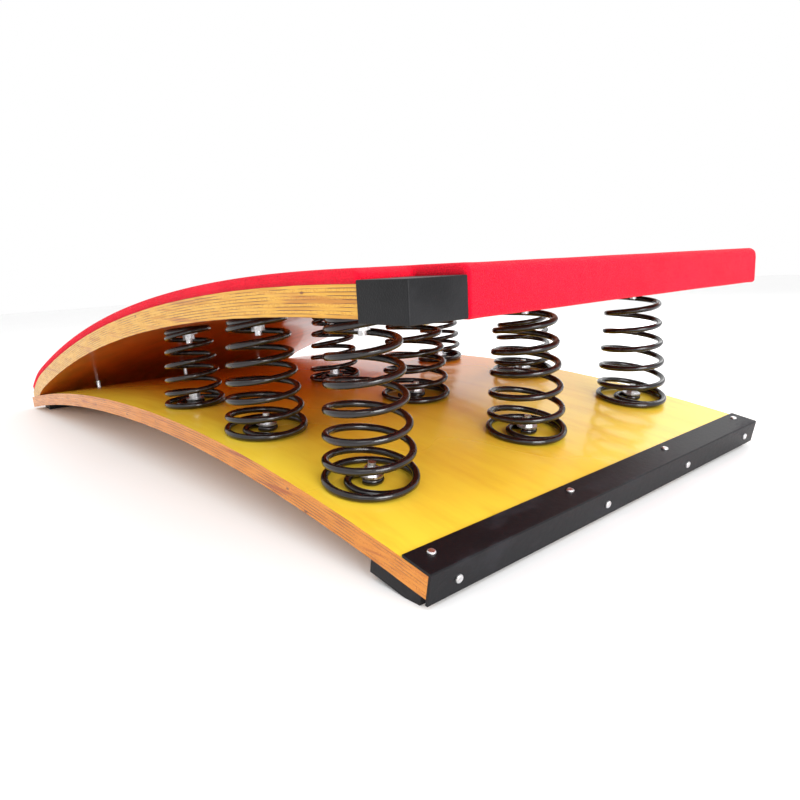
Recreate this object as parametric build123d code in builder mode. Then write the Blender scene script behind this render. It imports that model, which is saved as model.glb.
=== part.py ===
from build123d import *
from collections import namedtuple
from math import asin, atan, cos, degrees, sin, sqrt
import os

# Springboard: an arched plywood base, nine conical springs in three rows, and a bent
# plywood deck that lands on the base at its rear end.  Millimetres.
# +X runs from the low rear end to the high front end, +Y across the board, +Z up.
# The origin is on the floor, under the middle of the board.

# overall sizes
length = 1200.0
width = 600.0

# base board: two arcs that meet at a level crown
base_thickness = 21.0
base_crown_x = 70.0
base_crown_z = 83.5
base_rear_z = 24.0
base_front_z = 29.5

# deck board: a level front, one long arc and a tighter bend down to the base
deck_thickness = 27.0
deck_side_inset = 3.5
deck_front_inset = 14.0
deck_rear_inset = 2.0
deck_crown_inset = 100.0
deck_crown_z = 244.0
rear_bend_inset = 95.0
rear_bend_z = 82.1
rear_bend_radius = 350.0
landing_gap = 0.3

# padding on the deck
foam_thickness = 8.0
carpet_thickness = 4.0
carpet_fold_under = 60.0
padding_rear_inset = 3.0

# edge strip on the front of the base
strip_thickness = 2.5
strip_top_length = 30.0
strip_drop = 5.0
strip_edge_radius = 1.6
strip_top_screw_inset = 19.0
strip_top_screw_end_inset = 21.0
strip_top_screw_inner_y = 93.0
strip_front_screw_end_insets = (32.0, 30.0)
strip_front_screw_inner_y = (-56.0, 112.0)
strip_front_screw_drop = 13.0

# rubber under the base
foot_thickness = 14.0
foot_length = 60.0
foot_width = 148.0
foot_front_inset = 7.0
foot_side_inset = 2.0
foot_screw_pitch = 90.0
rear_pad_length = 36.0
rear_pad_inset = 5.0
rear_pad_side_inset = 20.0
rear_pad_screw_inset = 40.0

# corner cap at one front corner of the deck
cap_wall = 3.0
cap_length = 55.0
cap_width = 57.0
cap_edge_radius = 1.2
cap_gap = 0.5
cap_screw_pitch = 26.0

# springs: one size for the front and middle rows, a smaller one for the rear row
spring_front_inset = 145.0
spring_row_pitch = 191.0
spring_side_inset = 63.0
spring_seat = 0.1
spring_gap = 0.3
eye_radius = 9.0
Coil = namedtuple("Coil", "row x wire bottom_radius top_radius turns")
spring_front_x = length / 2 - spring_front_inset
coils = (
    Coil("front", spring_front_x, 7.5, 44.5, 31.0, 6.5),
    Coil("middle", spring_front_x - spring_row_pitch, 7.5, 44.5, 31.0, 6.5),
    Coil("rear", spring_front_x - 2 * spring_row_pitch, 7.0, 37.0, 27.0, 5.5),
)
spring_column_y = width / 2 - spring_side_inset
columns = {"near": -spring_column_y, "centre": 0.0, "far": spring_column_y}
joint_setback = 0.7

# fasteners
bolt_radius = 4.0
bolt_clearance = 0.3
bolt_head_radius = 8.5
bolt_head_height = 4.0
bolt_tip = 5.0
head_recess_clearance = 0.7
head_gap = 0.05
washer_radius = 12.0
washer_thickness = 2.0
nut_radius = 7.5
nut_height = 6.5
thread_fit = 0.05
screw_radius = 2.2
screw_head_radius = 3.9
screw_head_height = 2.2
screw_length = 16.0
foot_screw_head_recess = 3.5

# seam bolts through both boards at the rear
seam_bolt_rear_inset = 85.0
seam_bolt_side_inset = 110.0
seam_hole_radius = 8.0
seam_washer_radius = 9.5
seam_pocket_radius = 15.0
seam_pocket_depth = 13.0

ON_PLANE = (Align.CENTER, Align.CENTER, Align.MIN)
Arc = namedtuple("Arc", "x z radius")


def crown_arc(crown_x, crown_z, end_x, end_z):
    """Arc that is level at its crown and passes through its end point."""
    run = end_x - crown_x
    drop = crown_z - end_z
    radius = (run**2 + drop**2) / (2 * drop)
    return Arc(crown_x, crown_z - radius, radius)


base_front_x = length / 2 - strip_thickness
base_rear_arc = crown_arc(base_crown_x, base_crown_z, -length / 2, base_rear_z)
base_front_arc = crown_arc(base_crown_x, base_crown_z, base_front_x, base_front_z)

deck_crown_x = length / 2 - deck_crown_inset
rear_bend_x = -length / 2 + rear_bend_inset
deck_arc = crown_arc(deck_crown_x, deck_crown_z, rear_bend_x, rear_bend_z)
deck_front_x = length / 2 - deck_front_inset
deck_half_width = width / 2 - deck_side_inset
bend_sine = (rear_bend_x - deck_crown_x) / deck_arc.radius
bend_cosine = sqrt(1 - bend_sine**2)
bend_arc = Arc(
    rear_bend_x - rear_bend_radius * bend_sine,
    deck_arc.z + (deck_arc.radius - rear_bend_radius) * bend_cosine,
    rear_bend_radius,
)
padding_thickness = foam_thickness + carpet_thickness


def skin_point(arc, x, depth=0.0):
    """Point at a depth under an arc, square to the arc where its own abscissa is x."""
    sine = (x - arc.x) / arc.radius
    inner = arc.radius - depth
    return (arc.x + inner * sine, arc.z + inner * sqrt(1 - sine**2))


def skin_curve(arc, start_x, end_x, depth=0.0):
    """Arc at a depth under a board's top surface, from one abscissa to another."""
    middle_x = (start_x + end_x) / 2
    ThreePointArc(
        skin_point(arc, start_x, depth),
        skin_point(arc, middle_x, depth),
        skin_point(arc, end_x, depth),
    )


def surface_plane(arc, x, y, depth):
    """Plane on the surface at a depth under an arc, at abscissa x, facing up and square to it."""
    inner = arc.radius - depth
    lean = asin((x - arc.x) / inner)
    origin = (x, y, arc.z + inner * cos(lean))
    return Plane(origin=origin, x_dir=(cos(lean), 0, -sin(lean)), z_dir=(sin(lean), 0, cos(lean)))


def turned_down(plane):
    """The same plane facing down."""
    return Plane(origin=plane.origin, x_dir=plane.x_dir, z_dir=-plane.z_dir)


def base_arc_at(x):
    return base_front_arc if x > base_crown_x else base_rear_arc


def base_planes(x, ys, depth=0.0):
    return [surface_plane(base_arc_at(x), x, y, depth) for y in ys]


def eye_planes(arc_at, surface_depth, eye_depth_of):
    """Planes on a surface of a board, one per spring, square to it through the spring's eye."""
    found = []
    for coil in coils:
        eye_depth = eye_depth_of(coil)
        for y in columns.values():
            eye = surface_plane(arc_at(coil.x), coil.x, y, eye_depth)
            found.append(eye.offset(eye_depth - surface_depth))
    return found


# planes of the fasteners, all facing up
base_bolt_planes = eye_planes(base_arc_at, 0.0, lambda coil: -spring_seat - coil.wire / 2)
deck_eye_depth = deck_thickness + spring_gap
deck_bolt_planes = eye_planes(
    lambda x: deck_arc, deck_thickness, lambda coil: deck_eye_depth + coil.wire / 2
)
deck_head_planes = [plane.offset(deck_thickness) for plane in deck_bolt_planes]
seam_bolt_x = -length / 2 + seam_bolt_rear_inset
seam_bolt_y = width / 2 - seam_bolt_side_inset
seam_planes = base_planes(seam_bolt_x, (-seam_bolt_y, 0.0, seam_bolt_y))
front_lean = asin((base_front_x - base_front_arc.x) / base_front_arc.radius)
along_front = Vector(cos(front_lean), 0, -sin(front_lean))
front_normal = Vector(sin(front_lean), 0, cos(front_lean))
strip_corner = Vector(base_front_x, 0, base_front_z)
strip_section_plane = Plane(origin=strip_corner, x_dir=along_front, z_dir=(0, -1, 0))
strip_top_screw_end_y = width / 2 - strip_top_screw_end_inset
strip_top_screw_y = (
    -strip_top_screw_end_y,
    -strip_top_screw_inner_y,
    strip_top_screw_inner_y,
    strip_top_screw_end_y,
)
near_end_inset, far_end_inset = strip_front_screw_end_insets
strip_front_screw_y = (
    -width / 2 + near_end_inset,
    *strip_front_screw_inner_y,
    width / 2 - far_end_inset,
)
strip_top_screw_planes = [
    Plane(
        origin=strip_corner - along_front * strip_top_screw_inset + Vector(0, y, 0),
        x_dir=along_front,
        z_dir=front_normal,
    ).offset(strip_thickness)
    for y in strip_top_screw_y
]
strip_front_screw_planes = [
    Plane(
        origin=strip_corner - front_normal * strip_front_screw_drop + Vector(0, y, 0),
        x_dir=(0, 1, 0),
        z_dir=along_front,
    ).offset(strip_thickness)
    for y in strip_front_screw_y
]
foot_front_x = base_front_x - foot_front_inset
foot_middle_y = width / 2 - foot_side_inset - foot_width / 2
foot_screw_x = foot_front_x - foot_length / 2
foot_screw_planes = [
    turned_down(plane)
    for side in (-1, 1)
    for plane in base_planes(
        foot_screw_x,
        (side * foot_middle_y - foot_screw_pitch / 2, side * foot_middle_y + foot_screw_pitch / 2),
        base_thickness + foot_screw_head_recess,
    )
]
rear_pad_start_x = -length / 2 + rear_pad_inset
rear_pad_screw_y = width / 2 - rear_pad_side_inset - rear_pad_screw_inset
rear_pad_screw_planes = [
    turned_down(plane)
    for plane in base_planes(
        rear_pad_start_x + rear_pad_length / 2,
        (-rear_pad_screw_y, 0, rear_pad_screw_y),
        base_thickness + screw_head_height,
    )
]


def board_outline(arcs, depth_top, depth_bottom):
    """Closed outline between two depths of a chain of arcs, listed from rear to front."""
    for arc, start_x, end_x in arcs:
        skin_curve(arc, start_x, end_x, depth_top)
        skin_curve(arc, start_x, end_x, depth_bottom)
    first, last = arcs[0], arcs[-1]
    Line(skin_point(first[0], first[1], depth_top), skin_point(first[0], first[1], depth_bottom))
    Line(skin_point(last[0], last[2], depth_top), skin_point(last[0], last[2], depth_bottom))


def extrude_across(half_width):
    extrude(amount=half_width, both=True)


def drill(planes, radius, depth, back=0.0):
    """Straight holes that start `back` in front of each plane and go `depth` behind it."""
    with Locations(*[plane.offset(-depth) for plane in planes]):
        Cylinder(radius, depth + back, align=ON_PLANE, mode=Mode.SUBTRACT)


def base_board():
    chain = (
        (base_rear_arc, -length / 2, base_crown_x),
        (base_front_arc, base_crown_x, base_front_x),
    )
    hole_radius = bolt_radius + bolt_clearance
    pilot_radius = screw_radius + thread_fit
    with BuildPart() as board:
        with BuildSketch(Plane.XZ):
            with BuildLine():
                board_outline(chain, 0.0, base_thickness)
            make_face()
        extrude_across(width / 2)
        through = base_thickness + bolt_head_height
        drill(base_bolt_planes, hole_radius, through, back=1.0)
        drill(seam_planes, hole_radius, through, back=1.0)
        drill(strip_top_screw_planes, pilot_radius, screw_length + strip_thickness)
        drill(strip_front_screw_planes, pilot_radius, screw_length + strip_thickness)
        drill(foot_screw_planes, pilot_radius, screw_length)
        drill(rear_pad_screw_planes, pilot_radius, screw_length)
    return board


def deck_chain(rear_x):
    return (
        (bend_arc, rear_x, rear_bend_x),
        (deck_arc, rear_bend_x, deck_crown_x),
    )


def deck_layer(front_x, rear_x, depth_top, depth_bottom):
    """Outline of a layer of the deck: its arcs and its level front."""
    chain = deck_chain(rear_x)
    for arc, start_x, end_x in chain:
        skin_curve(arc, start_x, end_x, depth_top)
        skin_curve(arc, start_x, end_x, depth_bottom)
    top_z = deck_crown_z - depth_top
    bottom_z = deck_crown_z - depth_bottom
    Polyline(
        (deck_crown_x, top_z), (front_x, top_z), (front_x, bottom_z), (deck_crown_x, bottom_z)
    )
    Line(skin_point(bend_arc, rear_x, depth_top), skin_point(bend_arc, rear_x, depth_bottom))


def trim_rear(rear_x):
    """Cut a deck layer upright at its rear end."""
    reach = 4 * padding_thickness
    with BuildPart(mode=Mode.PRIVATE) as block:
        with BuildSketch(Plane.YZ.offset(rear_x)):
            Rectangle(2 * width, 2 * deck_crown_z)
        extrude(amount=-reach)
    add(block.part, mode=Mode.SUBTRACT)


def deck_board():
    rear_x = -length / 2 + deck_rear_inset
    low_x = rear_x - deck_thickness
    with BuildPart() as board:
        with BuildSketch(Plane.XZ):
            with BuildLine():
                deck_layer(deck_front_x, low_x, 0.0, deck_thickness)
            make_face()
            with BuildLine():
                skin_curve(base_rear_arc, low_x - deck_thickness, 0.0, -landing_gap)
                Polyline(
                    skin_point(base_rear_arc, low_x - deck_thickness, -landing_gap),
                    (low_x - deck_thickness, -deck_thickness),
                    (0.0, -deck_thickness),
                    skin_point(base_rear_arc, 0.0, -landing_gap),
                )
            make_face(mode=Mode.SUBTRACT)
        extrude_across(deck_half_width)
        trim_rear(rear_x)
        hole_radius = bolt_radius + bolt_clearance
        drill(deck_head_planes, hole_radius, deck_thickness + 1.0, back=1.0)
        recess_radius = bolt_head_radius + head_recess_clearance
        drill(deck_head_planes, recess_radius, bolt_head_height + head_recess_clearance, back=1.0)
        drill(seam_planes, seam_hole_radius, 1.0, back=2 * deck_thickness)
        drill(seam_head_planes(), seam_pocket_radius, 0.0, back=2 * seam_pocket_depth)
        drill(cap_screw_planes(), screw_radius + thread_fit, screw_length)
    return board


def seam_grip():
    """Height of the seam bolts' seat above the base, along the bolt."""
    arc = bend_arc if seam_bolt_x < rear_bend_x else deck_arc
    bolt = seam_planes[0]
    from_centre = Vector(bolt.origin.X - arc.x, 0, bolt.origin.Z - arc.z)
    along = from_centre.dot(bolt.z_dir)
    reach = arc.radius - seam_pocket_depth
    return sqrt(reach**2 - from_centre.length**2 + along**2) - along


def seam_head_planes():
    return [plane.offset(seam_grip()) for plane in seam_planes]


def cap_screw_planes():
    """Planes of the cap's screws, on the underside of the cap and facing down."""
    z = deck_crown_z - deck_thickness - cap_wall
    x = deck_front_x - cap_length / 2
    y = -deck_half_width + cap_width / 2
    return [
        Plane(origin=(x + side * cap_screw_pitch / 2, y, z), x_dir=(1, 0, 0), z_dir=(0, 0, -1))
        for side in (-1, 1)
    ]


def corner_block(gap):
    """Block round the capped corner, taller than the padding and `gap` past the cap's ends."""
    high_x = deck_front_x + 2 * cap_length
    low_y = -width
    rear_x = deck_front_x - cap_length - gap
    inner_y = -deck_half_width + cap_width + gap
    low_z = deck_crown_z - deck_thickness - 2 * padding_thickness
    with BuildPart(mode=Mode.PRIVATE) as block:
        with BuildSketch(Plane.XY.offset(low_z)):
            with Locations(((rear_x + high_x) / 2, (low_y + inner_y) / 2)):
                Rectangle(high_x - rear_x, inner_y - low_y)
        extrude(amount=deck_thickness + 4 * padding_thickness)
    return block.part


def foam_pad():
    rear_x = -length / 2 + padding_rear_inset + carpet_thickness
    with BuildPart() as pad:
        with BuildSketch(Plane.XZ):
            with BuildLine():
                deck_layer(deck_front_x, rear_x - foam_thickness, -foam_thickness, 0.0)
            make_face()
        extrude_across(deck_half_width - carpet_thickness)
        trim_rear(rear_x)
        add(corner_block(cap_gap + carpet_thickness), mode=Mode.SUBTRACT)
    return pad


def carpet(foam):
    rear_x = -length / 2 + padding_rear_inset
    front_x = deck_front_x + carpet_thickness
    bottom_z = deck_crown_z - deck_thickness
    with BuildPart() as cover:
        with BuildSketch(Plane.XZ):
            with BuildLine():
                deck_layer(front_x, rear_x - padding_thickness, -padding_thickness, 0.0)
            make_face()
            with BuildLine():
                Polyline(
                    (front_x, deck_crown_z),
                    (front_x, bottom_z - carpet_thickness),
                    (deck_front_x - carpet_fold_under, bottom_z - carpet_thickness),
                    (deck_front_x - carpet_fold_under, bottom_z),
                    (deck_front_x, bottom_z),
                    (deck_front_x, deck_crown_z),
                    close=True,
                )
            make_face()
        extrude_across(deck_half_width)
        trim_rear(rear_x)
        add(corner_block(cap_gap), mode=Mode.SUBTRACT)
        add(foam.part, mode=Mode.SUBTRACT)
    return cover


def corner_cap():
    low_x = deck_front_x - cap_length
    high_x = deck_front_x + cap_wall
    low_y = -deck_half_width - cap_wall
    high_y = -deck_half_width + cap_width
    low_z = deck_crown_z - deck_thickness - cap_wall
    with BuildPart() as cap:
        with BuildSketch(Plane.XY.offset(low_z)):
            with Locations(((low_x + high_x) / 2, (low_y + high_y) / 2)):
                Rectangle(high_x - low_x, high_y - low_y)
        extrude(amount=deck_thickness + 2 * cap_wall)
        outer_edges = cap.edges().filter_by(
            lambda edge: edge.center().X > high_x - 1e-3 or edge.center().Y < low_y + 1e-3
        )
        rounded = outer_edges.filter_by(
            lambda edge: abs(edge.center().X - low_x) > 1e-3 and abs(edge.center().Y - high_y) > 1e-3
        )
        fillet(rounded, cap_edge_radius)
        with BuildSketch(Plane.XY.offset(low_z + cap_wall)):
            with Locations(((low_x + deck_front_x) / 2, (high_y - deck_half_width) / 2)):
                Rectangle(cap_length, cap_width)
        extrude(amount=deck_thickness, mode=Mode.SUBTRACT)
        drill(cap_screw_planes(), screw_radius + thread_fit, cap_wall)
    return cap


def edge_strip():
    outer = strip_thickness
    with BuildPart() as strip:
        with BuildSketch(strip_section_plane):
            with BuildLine():
                Polyline(
                    (-strip_top_length, 0),
                    (0, 0),
                    (0, -base_thickness - strip_drop),
                    (outer, -base_thickness - strip_drop),
                    (outer, outer),
                    (-strip_top_length, outer),
                    close=True,
                )
            make_face()
        extrude_across(width / 2)
        long_edges = strip.edges().filter_by(Axis.Y)
        corner = strip_section_plane.from_local_coords((outer, outer, 0))
        fillet(long_edges.sort_by_distance(corner)[0], strip_edge_radius)
        drill(strip_top_screw_planes, screw_radius + thread_fit, strip_thickness)
        drill(strip_front_screw_planes, screw_radius + thread_fit, strip_thickness)
    return strip


def rubber_pad(start_x, end_x, arc, thickness, low_y, high_y, screw_planes, recess):
    """Pad that follows the base's underside and is cut flat on the floor."""
    floor_x = (start_x + end_x) / 2
    with BuildPart() as pad:
        with BuildSketch(Plane.XZ.offset(-low_y)):
            with BuildLine():
                board_outline(((arc, start_x, end_x),), base_thickness, base_thickness + thickness)
            make_face()
            with Locations((floor_x, -length / 2)):
                Rectangle(length, length, mode=Mode.SUBTRACT)
        extrude(amount=low_y - high_y)
        drill(screw_planes, screw_radius + thread_fit, recess + screw_length)
        drill(screw_planes, screw_head_radius + thread_fit, 0.0, back=thickness)
    return pad


def front_foot(side):
    middle_y = side * foot_middle_y
    return rubber_pad(
        foot_front_x - foot_length,
        foot_front_x,
        base_front_arc,
        foot_thickness,
        middle_y - foot_width / 2,
        middle_y + foot_width / 2,
        [plane for plane in foot_screw_planes if plane.origin.Y * side > 0],
        foot_screw_head_recess,
    )


def rear_pad():
    half = width / 2 - rear_pad_side_inset
    deepest = base_rear_z
    return rubber_pad(
        rear_pad_start_x,
        rear_pad_start_x + rear_pad_length,
        base_rear_arc,
        deepest,
        -half,
        half,
        rear_pad_screw_planes,
        screw_head_height,
    )


def spiral(start_side, radii):
    """Flat spiral of half circles about the origin, turning counter-clockwise."""
    side = start_side
    for first, second in zip(radii, radii[1:]):
        middle = (-side * (first + second) / 2, side * (first - second) / 2)
        ThreePointArc((0, side * first), middle, (0, -side * second))
        side = -side


def set_back(path, from_start, from_end):
    """A path shortened by a length at each end."""
    return path.trim(from_start / path.length, 1 - from_end / path.length)


def wire_along(path, radius):
    """Round wire swept along a path."""
    with BuildPart() as tube:
        with BuildSketch(Plane(origin=path @ 0, z_dir=path % 0)):
            Circle(radius)
        sweep(path=path, is_frenet=True)
    return tube.part


def spring(coil, y):
    """Conical spring with a flat spiral and a bolt eye at each end."""
    wire = coil.wire / 2
    lower = surface_plane(base_arc_at(coil.x), coil.x, y, -spring_seat - wire)
    upper = surface_plane(deck_arc, coil.x, y, deck_thickness + spring_gap + wire)
    rise = upper.origin.Z - lower.origin.Z
    flare = atan((coil.top_radius - coil.bottom_radius) / rise)
    middle_bottom = (coil.bottom_radius + eye_radius) / 2
    middle_top = (coil.top_radius + eye_radius) / 2
    start = Plane(origin=lower.origin, x_dir=(0, -1, 0), z_dir=(0, 0, 1))
    with BuildLine(lower) as bottom_path:
        spiral(-1, (eye_radius, eye_radius, middle_bottom, coil.bottom_radius, coil.bottom_radius))
    coil_path = start.location * Helix(
        pitch=rise / coil.turns / cos(flare),
        height=rise,
        radius=coil.bottom_radius,
        cone_angle=degrees(flare),
    )
    with BuildLine(upper) as top_path:
        spiral(1, (coil.top_radius, coil.top_radius, middle_top, eye_radius, eye_radius))
    lower_end = wire_along(set_back(bottom_path.wire(), 0.0, joint_setback), wire)
    coiled = wire_along(set_back(coil_path, joint_setback, joint_setback), wire)
    upper_end = wire_along(set_back(top_path.wire(), joint_setback, 0.0), wire)
    with BuildPart() as body:
        add(coiled)
        add(lower_end)
        add(upper_end)
    return body


def bolts(head_planes, reaches):
    """Round-headed bolts: the head stands on its plane, the shank goes behind it."""
    with BuildPart() as group:
        for plane, reach in zip(head_planes, reaches):
            with BuildSketch(plane):
                Circle(bolt_head_radius)
            extrude(amount=bolt_head_height)
            with BuildSketch(plane):
                Circle(bolt_radius)
            extrude(amount=-reach)
        rims = group.faces().filter_by(GeomType.PLANE).group_by(SortBy.AREA)[-1]
        fillet(rims.edges(), bolt_head_height * 0.6)
    return group


def washers(planes, radius):
    with BuildPart() as group:
        with BuildSketch(*planes):
            Circle(radius)
            Circle(bolt_radius + bolt_clearance, mode=Mode.SUBTRACT)
        extrude(amount=washer_thickness)
    return group


def nuts(planes):
    with BuildPart() as group:
        with BuildSketch(*planes):
            RegularPolygon(radius=nut_radius, side_count=6)
            Circle(bolt_radius + thread_fit, mode=Mode.SUBTRACT)
        extrude(amount=nut_height)
    return group


def screws(planes):
    """Dome-headed screws whose heads stand on their planes."""
    with BuildPart() as group:
        for plane in planes:
            with BuildSketch(plane):
                Circle(screw_head_radius)
            extrude(amount=screw_head_height)
            with BuildSketch(plane):
                Circle(screw_radius)
            extrude(amount=-screw_length)
        tops = group.faces().filter_by(GeomType.PLANE).group_by(SortBy.AREA)[-1]
        fillet(tops.edges(), screw_head_height * 0.7)
    return group


def save(builder, label):
    builder.part.label = label
    export_step(builder.part, "parts/%s.step" % label)


os.makedirs("parts", exist_ok=True)

foam = foam_pad()
save(base_board(), "base_board")
save(deck_board(), "deck_board")
save(foam, "foam_pad")
save(carpet(foam), "carpet")
save(corner_cap(), "corner_cap")
save(edge_strip(), "edge_strip")
save(front_foot(-1), "front_foot_near")
save(front_foot(1), "front_foot_far")
save(rear_pad(), "rear_pad")

for coil in coils:
    for column, y in columns.items():
        save(spring(coil, y), "spring_%s_%s" % (coil.row, column))

stack = washer_thickness + nut_height + bolt_tip
wires = [coil.wire for coil in coils for column in columns]
clamp_gap = 2 * spring_gap
base_heads = [turned_down(plane.offset(-base_thickness - head_gap)) for plane in base_bolt_planes]
save(bolts(base_heads, [base_thickness + head_gap + wire + stack for wire in wires]), "base_bolts")
base_seats = [plane.offset(spring_seat + wire) for plane, wire in zip(base_bolt_planes, wires)]
save(washers(base_seats, washer_radius), "base_washers")
save(nuts([plane.offset(washer_thickness) for plane in base_seats]), "base_nuts")

deck_heads = [plane.offset(-bolt_head_height - head_gap) for plane in deck_head_planes]
deck_grip = deck_thickness - bolt_head_height - head_gap + clamp_gap + stack
save(bolts(deck_heads, [deck_grip + wire for wire in wires]), "deck_bolts")
deck_seats = [
    turned_down(plane).offset(wire + clamp_gap) for plane, wire in zip(deck_bolt_planes, wires)
]
save(washers(deck_seats, washer_radius), "deck_washers")
save(nuts([plane.offset(washer_thickness) for plane in deck_seats]), "deck_nuts")

seam_seats = [plane.offset(landing_gap) for plane in seam_head_planes()]
seam_reach = seam_grip() + landing_gap + washer_thickness + base_thickness + stack
save(bolts([plane.offset(washer_thickness) for plane in seam_seats],
           [seam_reach for plane in seam_seats]), "seam_bolts")
seam_nut_seats = [turned_down(plane.offset(-base_thickness)) for plane in seam_planes]
save(washers(seam_seats + seam_nut_seats, seam_washer_radius), "seam_washers")
save(nuts([plane.offset(washer_thickness) for plane in seam_nut_seats]), "seam_nuts")

save(screws(strip_top_screw_planes), "strip_top_screws")
save(screws(strip_front_screw_planes), "strip_front_screws")
save(screws(foot_screw_planes), "foot_screws")
save(screws(rear_pad_screw_planes), "rear_pad_screws")
save(screws(cap_screw_planes()), "cap_screws")
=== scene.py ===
from collections import namedtuple
from math import asin, cos, pi, radians, sin, sqrt

import bpy
from mathutils import Matrix, Vector


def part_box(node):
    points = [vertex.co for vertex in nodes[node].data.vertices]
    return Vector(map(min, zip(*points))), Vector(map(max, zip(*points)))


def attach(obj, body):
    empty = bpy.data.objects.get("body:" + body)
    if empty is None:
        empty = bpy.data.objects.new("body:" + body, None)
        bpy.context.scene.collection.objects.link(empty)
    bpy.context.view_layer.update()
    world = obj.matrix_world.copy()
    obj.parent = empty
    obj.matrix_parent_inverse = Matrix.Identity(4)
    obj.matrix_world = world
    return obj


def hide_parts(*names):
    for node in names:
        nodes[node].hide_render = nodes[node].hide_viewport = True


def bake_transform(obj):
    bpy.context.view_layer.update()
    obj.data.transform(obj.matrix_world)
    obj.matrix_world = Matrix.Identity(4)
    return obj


# Springboard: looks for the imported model.  Metres, in the model's own frame:
# +X runs to the high front end, +Y across the board, +Z up.

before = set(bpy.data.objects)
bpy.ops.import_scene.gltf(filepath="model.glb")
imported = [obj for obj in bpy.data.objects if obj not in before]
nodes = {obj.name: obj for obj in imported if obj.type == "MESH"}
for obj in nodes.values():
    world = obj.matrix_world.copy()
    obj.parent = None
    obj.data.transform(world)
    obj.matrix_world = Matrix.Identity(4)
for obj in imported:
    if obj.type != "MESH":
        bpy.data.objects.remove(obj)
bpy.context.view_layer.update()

Arc = namedtuple("Arc", "x z radius")
Place = namedtuple("Place", "origin along normal")

# ---------------------------------------------------------------- shared sizes
board_low, board_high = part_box("base_board")
deck_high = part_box("deck_board")[1]
carpet_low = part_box("carpet")[0]
cap_low, cap_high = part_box("corner_cap")

base_crown_x = 0.070
base_crown_z = board_high.z
base_rear_z = 0.024
base_front_z = 0.0295
deck_thickness = 0.027
deck_crown_x = 0.500
deck_crown_z = deck_high.z
rear_bend_x = -0.505
rear_bend_z = 0.0821
rear_bend_radius = 0.350
foam_thickness = 0.008
carpet_thickness = 0.004
carpet_fold_under = 0.060


def crown_arc(crown_x, crown_z, end_x, end_z):
    """Arc that is level at its crown and passes through its end point."""
    run = end_x - crown_x
    drop = crown_z - end_z
    radius = (run**2 + drop**2) / (2 * drop)
    return Arc(crown_x, crown_z - radius, radius)


base_rear_arc = crown_arc(base_crown_x, base_crown_z, board_low.x, base_rear_z)
base_front_arc = crown_arc(base_crown_x, base_crown_z, board_high.x, base_front_z)
deck_arc = crown_arc(deck_crown_x, deck_crown_z, rear_bend_x, rear_bend_z)
bend_sine = (rear_bend_x - deck_crown_x) / deck_arc.radius
bend_arc = Arc(
    rear_bend_x - rear_bend_radius * bend_sine,
    deck_arc.z + (deck_arc.radius - rear_bend_radius) * sqrt(1 - bend_sine**2),
    rear_bend_radius,
)


def on_arc(arc, x, depth=0.0):
    """Place under an arc's top surface where the normal through it leaves the arc at x."""
    sine = (x - arc.x) / arc.radius
    cosine = sqrt(1 - sine**2)
    inner = arc.radius - depth
    origin = Vector((arc.x + inner * sine, 0, arc.z + inner * cosine))
    return Place(origin, Vector((cosine, 0, -sine)), Vector((sine, 0, cosine)))


def through_arc(arc, x, depth=0.0):
    """Place at a depth under an arc whose own x is given."""
    lean = asin((x - arc.x) / (arc.radius - depth))
    return on_arc(arc, arc.x + arc.radius * sin(lean), depth)


# ------------------------------------------------------------------- materials
def rgb(red, green, blue):
    """Colour given as on a screen, 0 to 255, as Blender's linear values."""
    linear = [
        c / 12.92 if c <= 0.04045 else ((c + 0.055) / 1.055) ** 2.4
        for c in (red / 255, green / 255, blue / 255)
    ]
    return (*linear, 1.0)


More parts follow.
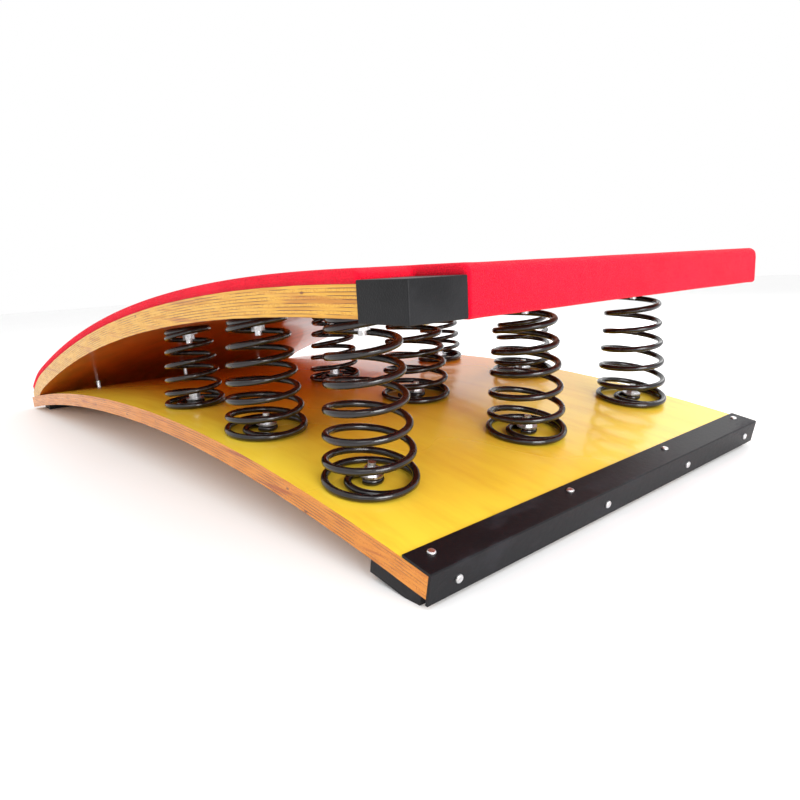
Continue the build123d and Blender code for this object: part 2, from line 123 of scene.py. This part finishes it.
class Paint:
    """A procedural material, built node by node on a Principled shader."""

    def __init__(self, name, **constants):
        self.material = bpy.data.materials.new(name)
        self.material.use_nodes = True
        self.tree = self.material.node_tree
        self.shader = self.tree.nodes["Principled BSDF"]
        self.coordinates = self.add("ShaderNodeTexCoord")
        self.place = self.coordinates.outputs["Object"]
        for key, value in constants.items():
            self.shader.inputs[key.replace("_", " ")].default_value = value

    def add(self, kind, inputs=None, **settings):
        node = self.tree.nodes.new(kind)
        for key, value in settings.items():
            setattr(node, key, value)
        for key, value in (inputs or {}).items():
            self.feed(node.inputs[key], value)
        return node

    def feed(self, socket, value):
        if isinstance(value, bpy.types.NodeSocket):
            self.tree.links.new(value, socket)
        else:
            socket.default_value = value

    def math(self, operation, *values):
        node = self.add("ShaderNodeMath", operation=operation)
        for socket, value in zip(node.inputs, values):
            self.feed(socket, value)
        return node.outputs[0]

    def spread(self, value, low, high, to_low=0.0, to_high=1.0):
        """A value carried smoothly from one range to another."""
        inputs = {
            "Value": value,
            "From Min": low,
            "From Max": high,
            "To Min": to_low,
            "To Max": to_high,
        }
        node = self.add("ShaderNodeMapRange", inputs, interpolation_type="SMOOTHSTEP")
        return node.outputs["Result"]

    def noise(self, scale, stretch=(1, 1, 1), detail=3.0, roughness=0.55):
        moved = self.add("ShaderNodeMapping", {"Vector": self.place, "Scale": stretch})
        inputs = {
            "Vector": moved.outputs[0],
            "Scale": scale,
            "Detail": detail,
            "Roughness": roughness,
        }
        return self.add("ShaderNodeTexNoise", inputs).outputs["Fac"]

    def cells(self, scale, stretch=(1, 1, 1)):
        """Distance to the nearest of many scattered points."""
        moved = self.add("ShaderNodeMapping", {"Vector": self.place, "Scale": stretch})
        inputs = {"Vector": moved.outputs[0], "Scale": scale}
        return self.add("ShaderNodeTexVoronoi", inputs).outputs["Distance"]

    def mix(self, share, first, second):
        node = self.add("ShaderNodeMix", data_type="RGBA")
        self.feed(node.inputs[0], share)
        self.feed(node.inputs[6], first)
        self.feed(node.inputs[7], second)
        return node.outputs[2]

    def split(self, vector):
        node = self.add("ShaderNodeSeparateXYZ", {"Vector": vector})
        return node.outputs

    def finish(self, colour=None, roughness=None, height=None, depth=0.0005):
        if colour is not None:
            self.feed(self.shader.inputs["Base Color"], colour)
        if roughness is not None:
            self.feed(self.shader.inputs["Roughness"], roughness)
        if height is not None:
            inputs = {"Height": height, "Distance": depth, "Strength": 1.0}
            bump = self.add("ShaderNodeBump", inputs)
            self.feed(self.shader.inputs["Normal"], bump.outputs["Normal"])
        return self.material


def arc_depth(paint, arc, across, up):
    """Depth under an arc, as nodes."""
    side = paint.math("SUBTRACT", across, arc.x)
    rise = paint.math("SUBTRACT", up, arc.z)
    side_squared = paint.math("MULTIPLY", side, side)
    rise_squared = paint.math("MULTIPLY", rise, rise)
    reach = paint.math("SQRT", paint.math("ADD", side_squared, rise_squared))
    return paint.math("SUBTRACT", arc.radius, reach)


def choose(paint, share, first, second):
    """first where share is 0, second where it is 1."""
    step = paint.math("MULTIPLY", share, paint.math("SUBTRACT", second, first))
    return paint.math("ADD", first, step)


Wood = namedtuple("Wood", "top_near top_far under edge edge_dark glue top_gloss ply")


def plywood(name, depth_nodes, wood):
    """Varnished plywood: lacquered faces, and edges that show every ply and glue line."""
    paint = Paint(name, Coat_Weight=0.4, Coat_Roughness=0.06, Coat_IOR=1.5)
    x, y, z = paint.split(paint.place)
    depth = depth_nodes(paint, x, z)
    normal = paint.split(paint.coordinates.outputs["Normal"])
    on_side = paint.math("GREATER_THAN", paint.math("ABSOLUTE", normal[1]), 0.6)
    on_end = paint.math("GREATER_THAN", paint.math("ABSOLUTE", normal[0]), 0.75)
    edge = paint.math("MAXIMUM", on_side, on_end)
    under = paint.math("LESS_THAN", normal[2], -0.3)

    # plies: every other one shows end grain, and a dark glue line parts them
    wander = paint.math("MULTIPLY", paint.math("SUBTRACT", paint.noise(9.0), 0.5), 0.30)
    layer = paint.math("ADD", paint.math("DIVIDE", depth, wood.ply), wander)
    share = paint.math("FRACT", layer)
    from_line = paint.math("MINIMUM", share, paint.math("SUBTRACT", 1.0, share))
    strength = paint.spread(paint.noise(26.0, (1, 1, 3)), 0.35, 0.62)
    line = paint.math("MULTIPLY", paint.spread(from_line, 0.03, 0.16, 1.0, 0.0), strength)
    crossed = paint.math("GREATER_THAN", paint.math("MODULO", layer, 2.0), 1.0)
    fibres = paint.noise(210.0, (0.06, 1, 1), 4.0)
    pores = paint.noise(700.0, (1, 1, 1), 2.0)
    grain = choose(paint, crossed, fibres, pores)
    dark = paint.math("MULTIPLY", paint.spread(grain, 0.42, 0.70), 0.55)
    edge_colour = paint.mix(dark, wood.edge, wood.edge_dark)
    streaks = paint.spread(paint.noise(60.0, (0.12, 1, 2.5), 3.0), 0.56, 0.70, 0.0, 0.8)
    edge_colour = paint.mix(streaks, edge_colour, wood.edge_dark)
    edge_colour = paint.mix(line, edge_colour, wood.glue)
    knots = paint.spread(paint.cells(22.0, (1, 1, 2.2)), 0.035, 0.085, 0.85, 0.0)
    edge_colour = paint.mix(knots, edge_colour, wood.glue)

    # faces: long grain under the lacquer; rearwards and away from the near side the top is
    # painted orange and darker, as painted reflection and shade from the deck above
    long_grain = paint.noise(38.0, (0.10, 1, 1), 5.0, 0.6)
    cloud = paint.noise(3.2, (0.8, 1, 1), 2.0)
    # painted reflection and shade: a position mask, rearwards of the front springs and away from
    # the near edge, where the deck overhangs the top
    painted_bounce_zone = paint.math("MULTIPLY", paint.spread(x, 0.46, 0.02), paint.spread(y, -0.30, -0.12))
    face = paint.mix(painted_bounce_zone, wood.top_near, wood.top_far)
    shade = paint.math("MULTIPLY", paint.spread(long_grain, 0.40, 0.75), 0.28)
    face = paint.mix(shade, face, wood.edge)
    face = paint.mix(paint.spread(cloud, 0.40, 0.72, 0.0, 0.22), face, wood.edge)
    below = paint.mix(paint.spread(long_grain, 0.35, 0.75, 0.0, 0.6), wood.under, wood.glue)
    face = paint.mix(under, face, below)
    colour = paint.mix(edge, face, edge_colour)

    face_gloss = paint.spread(cloud, 0.3, 0.7, wood.top_gloss, wood.top_gloss + 0.08)
    edge_gloss = paint.spread(grain, 0.3, 0.7, 0.42, 0.62)
    gloss = choose(paint, edge, face_gloss, edge_gloss)
    grooved = paint.math("ADD", grain, paint.math("MULTIPLY", line, -1.2))
    relief = paint.math("MULTIPLY", grooved, edge)
    relief = paint.math("ADD", relief, paint.math("MULTIPLY", long_grain, 0.12))
    return paint.finish(colour, gloss, relief, 0.0003)


def base_depth(paint, x, z):
    ahead = paint.math("GREATER_THAN", x, base_crown_x)
    rear = arc_depth(paint, base_rear_arc, x, z)
    return choose(paint, ahead, rear, arc_depth(paint, base_front_arc, x, z))


def deck_depth(paint, x, z):
    level = paint.math("SUBTRACT", deck_crown_z, z)
    ahead = paint.math("GREATER_THAN", x, deck_crown_x)
    behind = paint.math("LESS_THAN", x, rear_bend_x)
    along = choose(paint, ahead, arc_depth(paint, deck_arc, x, z), level)
    return choose(paint, behind, along, arc_depth(paint, bend_arc, x, z))


base_wood = Wood(
    top_near=rgb(255, 226, 70),
    # painted reflection and shade: the orange tone the base top gets where the deck overhangs it
    top_far=rgb(255, 132, 8),
    under=rgb(206, 140, 52),
    edge=rgb(206, 126, 8),
    edge_dark=rgb(150, 62, 4),
    glue=rgb(88, 38, 10),
    top_gloss=0.20,
    ply=0.003,
)
deck_wood = Wood(
    top_near=rgb(226, 170, 76),
    # painted shade: the darker tone of the deck top in the same rear, far zone
    top_far=rgb(216, 150, 60),
    under=rgb(190, 84, 26),
    edge=rgb(214, 160, 44),
    edge_dark=rgb(180, 112, 24),
    glue=rgb(112, 62, 20),
    top_gloss=0.28,
    ply=0.003,
)


def rubber(name, tone, worn_tone):
    """Black rubber or vinyl with a fine skin and scuffed patches."""
    paint = Paint(name, Specular_IOR_Level=0.2)
    skin = paint.noise(950.0, detail=3.0)
    scuffs = paint.spread(paint.noise(34.0, (1, 0.35, 1), 5.0, 0.65), 0.50, 0.78)
    colour = paint.mix(scuffs, tone, worn_tone)
    gloss = paint.spread(scuffs, 0.0, 1.0, 0.46, 0.68)
    height = paint.math("ADD", paint.math("MULTIPLY", skin, 0.5), paint.noise(140.0))
    return paint.finish(colour, gloss, height, 0.00025)


def moulded_plastic(name):
    paint = Paint(name, Specular_IOR_Level=0.2)
    leather = paint.cells(620.0)
    haze = paint.noise(18.0, detail=4.0)
    colour = paint.mix(paint.spread(haze, 0.35, 0.7), rgb(16, 16, 18), rgb(30, 30, 32))
    gloss = paint.spread(haze, 0.3, 0.7, 0.34, 0.5)
    return paint.finish(colour, gloss, leather, 0.00012)


def spring_paint(name):
    """Black stoved paint on steel wire, with faint orange peel."""
    paint = Paint(name, Coat_Weight=0.25, Coat_Roughness=0.08, Specular_IOR_Level=0.5)
    peel = paint.noise(420.0, detail=2.0)
    dust = paint.spread(paint.noise(55.0, detail=5.0), 0.45, 0.75)
    colour = paint.mix(dust, rgb(14, 10, 12), rgb(34, 22, 22))
    gloss = paint.spread(dust, 0.0, 1.0, 0.16, 0.30)
    return paint.finish(colour, gloss, peel, 0.00015)


def zinc(name):
    paint = Paint(name, Metallic=1.0)
    spangle = paint.cells(360.0)
    stain = paint.noise(120.0, detail=4.0)
    colour = paint.mix(paint.spread(stain, 0.35, 0.7), rgb(236, 236, 240), rgb(200, 198, 196))
    gloss = paint.spread(spangle, 0.0, 0.6, 0.20, 0.36)
    return paint.finish(colour, gloss, stain, 0.00008)


def pile_carpet(name):
    """Short red needle-felt pile."""
    paint = Paint(name, Sheen_Weight=0.08, Sheen_Roughness=0.45, Specular_IOR_Level=0.1)
    tufts = paint.noise(900.0, detail=3.0, roughness=0.7)
    nap = paint.noise(46.0, (1, 1, 1), 4.0)
    tracks = paint.noise(7.0, (1, 0.5, 1), 3.0)
    colour = paint.mix(paint.spread(tufts, 0.35, 0.65), rgb(190, 2, 30), rgb(244, 10, 48))
    colour = paint.mix(paint.spread(nap, 0.40, 0.75, 0.0, 0.35), colour, rgb(200, 4, 38))
    colour = paint.mix(paint.spread(tracks, 0.40, 0.70, 0.0, 0.25), colour, rgb(250, 22, 60))
    rough = paint.spread(nap, 0.3, 0.7, 0.86, 1.0)
    height = paint.math("ADD", tufts, paint.math("MULTIPLY", nap, 0.8))
    return paint.finish(colour, rough, height, 0.0012)


def foam_rubber(name):
    paint = Paint(name, Specular_IOR_Level=0.2)
    bubbles = paint.cells(520.0)
    tint = paint.noise(25.0)
    colour = paint.mix(paint.spread(tint, 0.3, 0.7), rgb(190, 60, 64), rgb(206, 80, 82))
    return paint.finish(colour, paint.spread(bubbles, 0.0, 0.5, 0.85, 1.0), bubbles, 0.0004)


materials = {
    "base_plywood": plywood("base_plywood", base_depth, base_wood),
    "deck_plywood": plywood("deck_plywood", deck_depth, deck_wood),
    "foam": foam_rubber("foam"),
    "carpet": pile_carpet("carpet"),
    "cap_plastic": moulded_plastic("cap_plastic"),
    "edge_rubber": rubber("edge_rubber", rgb(14, 13, 17), rgb(44, 43, 48)),
    "foot_rubber": rubber("foot_rubber", rgb(24, 23, 26), rgb(50, 48, 50)),
    "spring_steel": spring_paint("spring_steel"),
    "zinc": zinc("zinc"),
}

node_slots = {
    "base_board": "base_plywood",
    "deck_board": "deck_plywood",
    "corner_cap": "cap_plastic",
    "edge_strip": "edge_rubber",
    "front_foot_near": "foot_rubber",
    "front_foot_far": "foot_rubber",
    "rear_pad": "foot_rubber",
}
metal_endings = ("bolts", "nuts", "washers", "screws")


def dress(node, slot):
    """Gives a CAD node's mesh one of the materials."""
    mesh = node.data
    mesh.materials.clear()
    mesh.materials.append(materials[slot])


for node_name, node in nodes.items():
    if node_name in node_slots:
        dress(node, node_slots[node_name])
    elif node_name.endswith(metal_endings):
        dress(node, "zinc")


def new_piece(name, mesh, slot, body=None):
    piece = bpy.data.objects.new(name, mesh)
    bpy.context.scene.collection.objects.link(piece)
    mesh.materials.append(materials[slot])
    if body:
        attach(piece, body)
    return piece


def smooth(mesh):
    mesh.polygons.foreach_set("use_smooth", [True] * len(mesh.polygons))


# --------------------------------------------------------------------- springs
Coil = namedtuple("Coil", "row x wire bottom_radius top_radius turns")
spring_front_x = 0.455
spring_row_pitch = 0.191
column_y = {"near": -0.237, "centre": 0.0, "far": 0.237}
coils = (
    Coil("front", spring_front_x, 0.0075, 0.0445, 0.031, 6.5),
    Coil("middle", spring_front_x - spring_row_pitch, 0.0075, 0.0445, 0.031, 6.5),
    Coil("rear", spring_front_x - 2 * spring_row_pitch, 0.0070, 0.037, 0.027, 5.5),
)
eye_radius = 0.009
eye_turns = 2.0
spiral_start, spiral_end = 0.5, 1.5
soft_end = 0.06
end_cut = 0.45
wire_sides = 14
steps_per_turn = 44
spring_seat = 0.0001
spring_gap = 0.0003


def ease(t):
    """0 to 1 with level ends."""
    t = min(max(t, 0.0), 1.0)
    return t * t * (3 - 2 * t)


def ramp_with_soft_ends(t, soft):
    """0 to 1, straight between two short level ends."""
    t = min(max(t, 0.0), 1.0)
    scale = 1 / (1 - soft)
    if t < soft:
        return scale * t * t / (2 * soft)
    if t > 1 - soft:
        return 1 - scale * (1 - t) ** 2 / (2 * soft)
    return scale * (t - soft / 2)


def coil_radius(coil, turn):
    """Radius of the wire's centreline after so many turns from the lower eye."""
    last = coil.turns + 2 * eye_turns
    if turn < eye_turns:
        share = ease((turn - spiral_start) / (spiral_end - spiral_start))
        return eye_radius + share * (coil.bottom_radius - eye_radius)
    if turn > last - eye_turns:
        share = ease((last - turn - spiral_start) / (spiral_end - spiral_start))
        return eye_radius + share * (coil.top_radius - eye_radius)
    share = (turn - eye_turns) / coil.turns
    return coil.bottom_radius + share * (coil.top_radius - coil.bottom_radius)


def coil_line(coil, y):
    """Centreline of a spring: flat spirals along both boards, and a cone between them."""
    base_arc = base_front_arc if coil.x > base_crown_x else base_rear_arc
    wire = coil.wire / 2
    lower = through_arc(base_arc, coil.x, -spring_seat - wire)
    upper = through_arc(deck_arc, coil.x, deck_thickness + spring_gap + wire)
    last = coil.turns + 2 * eye_turns
    count = round(last * steps_per_turn)
    across = Vector((0, 1, 0))
    points = []
    for step in range(count + 1):
        turn = last * step / count
        angle = 2 * pi * (turn - eye_turns) - pi / 2
        radius = coil_radius(coil, turn)
        share = ramp_with_soft_ends((turn - eye_turns) / coil.turns, soft_end)
        ends = [
            place.origin + radius * (cos(angle) * place.along + sin(angle) * across)
            for place in (lower, upper)
        ]
        points.append(ends[0].lerp(ends[1], share) + Vector((0, y, 0)))
    return points, lower.origin.z, upper.origin.z


def tube(name, points, radius, sides):
    """Round wire along a line, with its two ends rounded off."""
    vertices, faces = [], []
    count = len(points)
    guide = Vector((0, 0, 1))
    for i, point in enumerate(points):
        along = (points[min(i + 1, count - 1)] - points[max(i - 1, 0)]).normalized()
        side = along.cross(guide).normalized()
        over = side.cross(along)
        size = radius * (1 - end_cut if i in (0, count - 1) else 1)
        for k in range(sides):
            angle = 2 * pi * k / sides
            vertices.append(point + size * (cos(angle) * side + sin(angle) * over))
    for i in range(count - 1):
        for k in range(sides):
            first, second = i * sides + k, i * sides + (k + 1) % sides
            faces.append((first, second, second + sides, first + sides))
    faces.append(tuple(reversed(range(sides))))
    faces.append(tuple(range((count - 1) * sides, count * sides)))
    mesh = bpy.data.meshes.new(name)
    mesh.from_pydata(vertices, [], faces)
    smooth(mesh)
    mesh.flip_normals()
    return mesh


for coil in coils:
    for column, y in column_y.items():
        line, low_z, high_z = coil_line(coil, y)
        name = f"{coil.row}_spring_{column}"
        piece = new_piece(name, tube(name, line, coil.wire / 2, wire_sides), "spring_steel")
        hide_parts(f"spring_{coil.row}_{column}")
        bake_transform(piece)


# ---------------------------------------------------------------- deck covering
deck_rear_x = carpet_low.x
deck_front_x = deck_high.x
half_width = deck_high.y
cover_height = foam_thickness + carpet_thickness
notch_x = cap_low.x - 0.0005
notch_y = cap_high.y + 0.0005
Rib = namedtuple("Rib", "inner outer")

# how closely the covering's mesh is spaced, and its turns at the front
rear_edge = 0.012
rear_edge_spacing = 0.0012
top_spacing = 0.008
front_spacing = 0.004
front_margin = 0.006
face_spacing = 0.003
turn_radius = 0.009
low_radius = 0.0038
corner_spread = 0.0004
side_edge = 0.006
side_edge_spacing = 0.001
notch_spacing = 0.005


def deck_surface(x):
    """Place on the deck's top surface."""
    if x > deck_crown_x:
        return Place(Vector((x, 0, deck_crown_z)), Vector((1, 0, 0)), Vector((0, 0, 1)))
    if x < rear_bend_x:
        return on_arc(bend_arc, x)
    return on_arc(deck_arc, x)


trim_rounds = 8


def trimmed_rear(height):
    """x on the deck's surface whose normal, at a height, ends over the carpet's rear edge."""
    x = deck_rear_x
    for _ in range(trim_rounds):
        place = deck_surface(x)
        x += deck_rear_x - (place.origin + height * place.normal).x
    return x


def steps(low, high, spacing):
    count = max(1, round((high - low) / spacing))
    return [low + (high - low) * k / count for k in range(count + 1)]


def cover_ribs():
    """Lines across the covering, from the rear edge over the front and back under the deck."""
    ribs = []
    start_x = trimmed_rear(cover_height)
    edge_x = start_x + rear_edge
    along = steps(start_x, edge_x, rear_edge_spacing)[:-1]
    along += steps(edge_x, notch_x, top_spacing)[:-1]
    along += steps(notch_x, deck_front_x - front_margin, front_spacing)
    for x in along:
        place = deck_surface(x)
        ribs.append(Rib(place.origin, place.origin + cover_height * place.normal))
    corner = Vector((deck_front_x, 0, deck_crown_z))
    centre = corner + Vector((carpet_thickness - turn_radius, 0, cover_height - turn_radius))
    for angle in steps(0, pi / 2, pi / 14):
        outer = centre + turn_radius * Vector((sin(angle), 0, cos(angle)))
        inner = corner - Vector((0, 0, corner_spread * angle))
        ribs.append(Rib(inner, outer))
    bottom_z = deck_crown_z - deck_thickness
    top_of_turn = bottom_z - carpet_thickness + low_radius
    for z in steps(centre.z, top_of_turn, -face_spacing)[1:-1]:
        inner = Vector((deck_front_x, 0, max(z, bottom_z)))
        ribs.append(Rib(inner, Vector((deck_front_x + carpet_thickness, 0, z))))
    low_corner = Vector((deck_front_x, 0, bottom_z))
    low_centre = Vector((deck_front_x + carpet_thickness - low_radius, 0, top_of_turn))
    for angle in steps(0, pi / 2, pi / 10):
        outer = low_centre + low_radius * Vector((cos(angle), 0, -sin(angle)))
        ribs.append(Rib(low_corner, outer))
    for x in steps(low_centre.x, deck_front_x - carpet_fold_under, -front_spacing)[1:]:
        inner = Vector((min(x, deck_front_x), 0, bottom_z))
        ribs.append(Rib(inner, Vector((x, 0, bottom_z - carpet_thickness))))
    return ribs


def cover_columns():
    """Places across the covering, closest together at its sides and beside the notch."""
    left_end = -half_width + side_edge
    notch_end = notch_y + side_edge
    right_start = half_width - side_edge
    left = steps(-half_width, left_end, side_edge_spacing)[:-1]
    to_notch = steps(left_end, notch_y, notch_spacing)[:-1]
    by_notch = steps(notch_y, notch_end, side_edge_spacing)[:-1]
    middle = steps(notch_end, right_start, top_spacing)[:-1]
    right = steps(right_start, half_width, side_edge_spacing)
    return left + to_notch + by_notch + middle + right


most_rounded = 0.8


def covering(name, ribs, columns, is_cut, distance, roundness, wave, closed=False):
    """Layer over the deck with rounded edges and turned-down sides, open or closed below."""
    vertices, faces, top = [], [], {}
    lengths = [0.0]
    for first, second in zip(ribs, ribs[1:]):
        lengths.append(lengths[-1] + (second.outer - first.outer).length)
    for i, rib in enumerate(ribs):
        for j, y in enumerate(columns):
            gap = distance(lengths[i], lengths[-1], rib.outer, y, i)
            reach = rib.outer - rib.inner
            height = reach.length
            radius = min(roundness, height * most_rounded)
            drop = 0.0
            if gap < radius:
                drop = radius - sqrt(max(radius**2 - (radius - gap) ** 2, 0.0))
            share = 1 - drop / height
            top[i, j] = len(vertices)
            lift = wave(rib.outer.x, y, gap)
            vertices.append(rib.inner + reach * (share + lift / height) + Vector((0, y, 0)))
    used = set()
    for i in range(len(ribs) - 1):
        for j in range(len(columns) - 1):
            if is_cut(i, j):
                continue
            corners = (top[i, j], top[i + 1, j], top[i + 1, j + 1], top[i, j + 1])
            faces.append(corners)
            for a, b in zip(corners, corners[1:] + corners[:1]):
                used.add((a, b))
    foot, cells = {}, len(faces)

    def foot_of(index):
        if index not in foot:
            i, j = divmod(index, len(columns))
            foot[index] = len(vertices)
            vertices.append(ribs[i].inner + Vector((0, columns[j], 0)))
        return foot[index]

    for a, b in sorted(used):
        if (b, a) not in used:
            faces.append((b, a, foot_of(a), foot_of(b)))
    if closed:
        for corners in faces[:cells]:
            faces.append(tuple(foot_of(index) for index in reversed(corners)))
    mesh = bpy.data.meshes.new(name)
    mesh.from_pydata(vertices, [], faces)
    return mesh


ribs = cover_ribs()
columns = cover_columns()
first_cut = next(i for i, rib in enumerate(ribs) if rib.outer.x >= notch_x - 1e-5)
first_corner = next(i for i, rib in enumerate(ribs) if rib.inner.x >= deck_front_x - 1e-6)


def in_notch(i, j):
    return i >= first_cut and columns[j + 1] <= notch_y + 1e-6


def edge_distance(length, total, outer, y, i):
    """Distance along the covering to its nearest edge."""
    to_side = half_width - abs(y)
    to_end = min(length, total - length)
    before = max(notch_x - outer.x, 0.0) if i < first_cut else 0.0
    beside = max(y - notch_y, 0.0)
    to_notch = sqrt(before**2 + beside**2)
    return max(min(to_side, to_end, to_notch), 0.0)


def carpet_wave(x, y, gap):
    """The covering isn't quite flat: slow hollows where the glue pulled it down."""
    slow = sin(9.0 * x + 1.3) * sin(7.0 * y + 0.4)
    quick = sin(31.0 * x + 11.0 * y) * sin(23.0 * y - 5.0 * x + 2.0)
    return -0.0005 * ease(gap / 0.02) * (1 + 0.6 * slow + 0.4 * quick)


weld_distance = 0.00005


def finish_shell(piece, thickness):
    """Cloth of a real thickness, its mesh final."""
    weld = piece.modifiers.new("weld", "WELD")
    weld.merge_threshold = weld_distance
    shell = piece.modifiers.new("shell", "SOLIDIFY")
    shell.thickness = thickness
    shell.offset = -1.0
    graph = bpy.context.evaluated_depsgraph_get()
    mesh = bpy.data.meshes.new_from_object(piece.evaluated_get(graph))
    piece.modifiers.clear()
    piece.data = mesh
    smooth(mesh)


carpet_edge_radius = 0.0045
carpet_cloth = 0.0030
carpet_mesh = covering(
    "carpet_cover", ribs, columns, in_notch, edge_distance, carpet_edge_radius, carpet_wave
)
carpet = new_piece("carpet_cover", carpet_mesh, "carpet")
finish_shell(carpet, carpet_cloth)
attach(carpet, "deck")
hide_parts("carpet")

# the foam under the carpet: a closed slab that the carpet hides
foam_share = 0.62
foam_rear, foam_front = 6, first_corner - 2
foam_ribs = [
    Rib(rib.inner, rib.inner.lerp(rib.outer, foam_share)) for rib in ribs[foam_rear:foam_front]
]
foam_columns = [y for y in columns if abs(y) < half_width - carpet_thickness]
foam_clear = 0.006


def foam_cut(i, j):
    beside_cap = foam_columns[j] < notch_y + foam_clear
    return beside_cap and foam_ribs[i + 1].outer.x > notch_x - foam_clear


def foam_distance(length, total, outer, y, i):
    return max(min(length, total - length, foam_columns[-1] - abs(y)), 0.0)


def foam_crown(x, y, gap):
    return 0.0003 * ease(gap / 0.05)


foam_edge_radius = 0.003
foam_mesh = covering(
    "foam_layer",
    foam_ribs,
    foam_columns,
    foam_cut,
    foam_distance,
    foam_edge_radius,
    foam_crown,
    closed=True,
)
smooth(foam_mesh)
foam = new_piece("foam_layer", foam_mesh, "foam", "deck")
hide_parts("foam_pad")


# ---------------------------------------------------------------- floor, lights
def floor():
    size = 12.0
    half = size / 2
    mesh = bpy.data.meshes.new("floor")
    corners = [(-half, -half, 0), (half, -half, 0), (half, half, 0), (-half, half, 0)]
    mesh.from_pydata(corners, [], [(0, 1, 2, 3)])
    piece = bpy.data.objects.new("floor", mesh)
    bpy.context.scene.collection.objects.link(piece)
    paint = Paint("floor")
    colour = paint.mix(paint.noise(0.8), rgb(246, 246, 246), rgb(250, 250, 250))
    mesh.materials.append(paint.finish(colour, paint.spread(paint.noise(3.0), 0, 1, 0.6, 0.7)))


def area_light(name, position, target, size, watts, glints=True):
    data = bpy.data.lights.new(name, "AREA")
    data.shape = "DISK"
    data.size = size
    data.energy = watts
    lamp = bpy.data.objects.new(name, data)
    lamp.location = position
    lamp.visible_glossy = glints
    lamp.rotation_euler = (Vector(target) - Vector(position)).to_track_quat("-Z", "Y").to_euler()
    bpy.context.scene.collection.objects.link(lamp)


def sky(strength):
    world = bpy.data.worlds.new("studio")
    world.use_nodes = True
    background = world.node_tree.nodes["Background"]
    background.inputs["Color"].default_value = (1.0, 1.0, 1.0, 1.0)
    background.inputs["Strength"].default_value = strength
    bpy.context.scene.world = world


def camera():
    """A hand-held view of the near side, from in front of the high end."""
    eye = Vector((0.9271, -0.6045, 0.2558))
    heading = radians(139.11)
    tilt = radians(-11.58)
    roll = radians(-2.89)
    sensor = 36.0
    forward = Vector((cos(tilt) * cos(heading), cos(tilt) * sin(heading), sin(tilt)))
    level = forward.cross(Vector((0, 0, 1))).normalized()
    upright = level.cross(forward)
    right = cos(roll) * level + sin(roll) * upright
    up = cos(roll) * upright - sin(roll) * level
    data = bpy.data.cameras.new("camera")
    data.sensor_width = sensor
    data.lens = 29.47
    data.clip_start = 0.01
    view = bpy.data.objects.new("camera", data)
    turned = Matrix((right, up, -forward)).transposed().to_4x4()
    view.matrix_world = Matrix.Translation(eye) @ turned
    bpy.context.scene.collection.objects.link(view)
    bpy.context.scene.camera = view


floor()
sky(1.0)
middle = (0, 0, 0.12)
area_light("key", (1.5, -1.7, 2.0), middle, 1.4, 10)
area_light("front", (2.3, -0.5, 0.75), middle, 1.2, 36)
area_light("low side", (-0.9, -2.0, 0.55), (-0.1, 0, 0.08), 0.9, 9, glints=False)
area_light("low back", (-0.1, 1.9, 0.5), (0.0, 0, 0.06), 0.9, 30, glints=False)
area_light("back", (0.4, 2.4, 1.7), middle, 1.6, 14)
camera()
bpy.context.scene.view_settings.view_transform = "Standard"
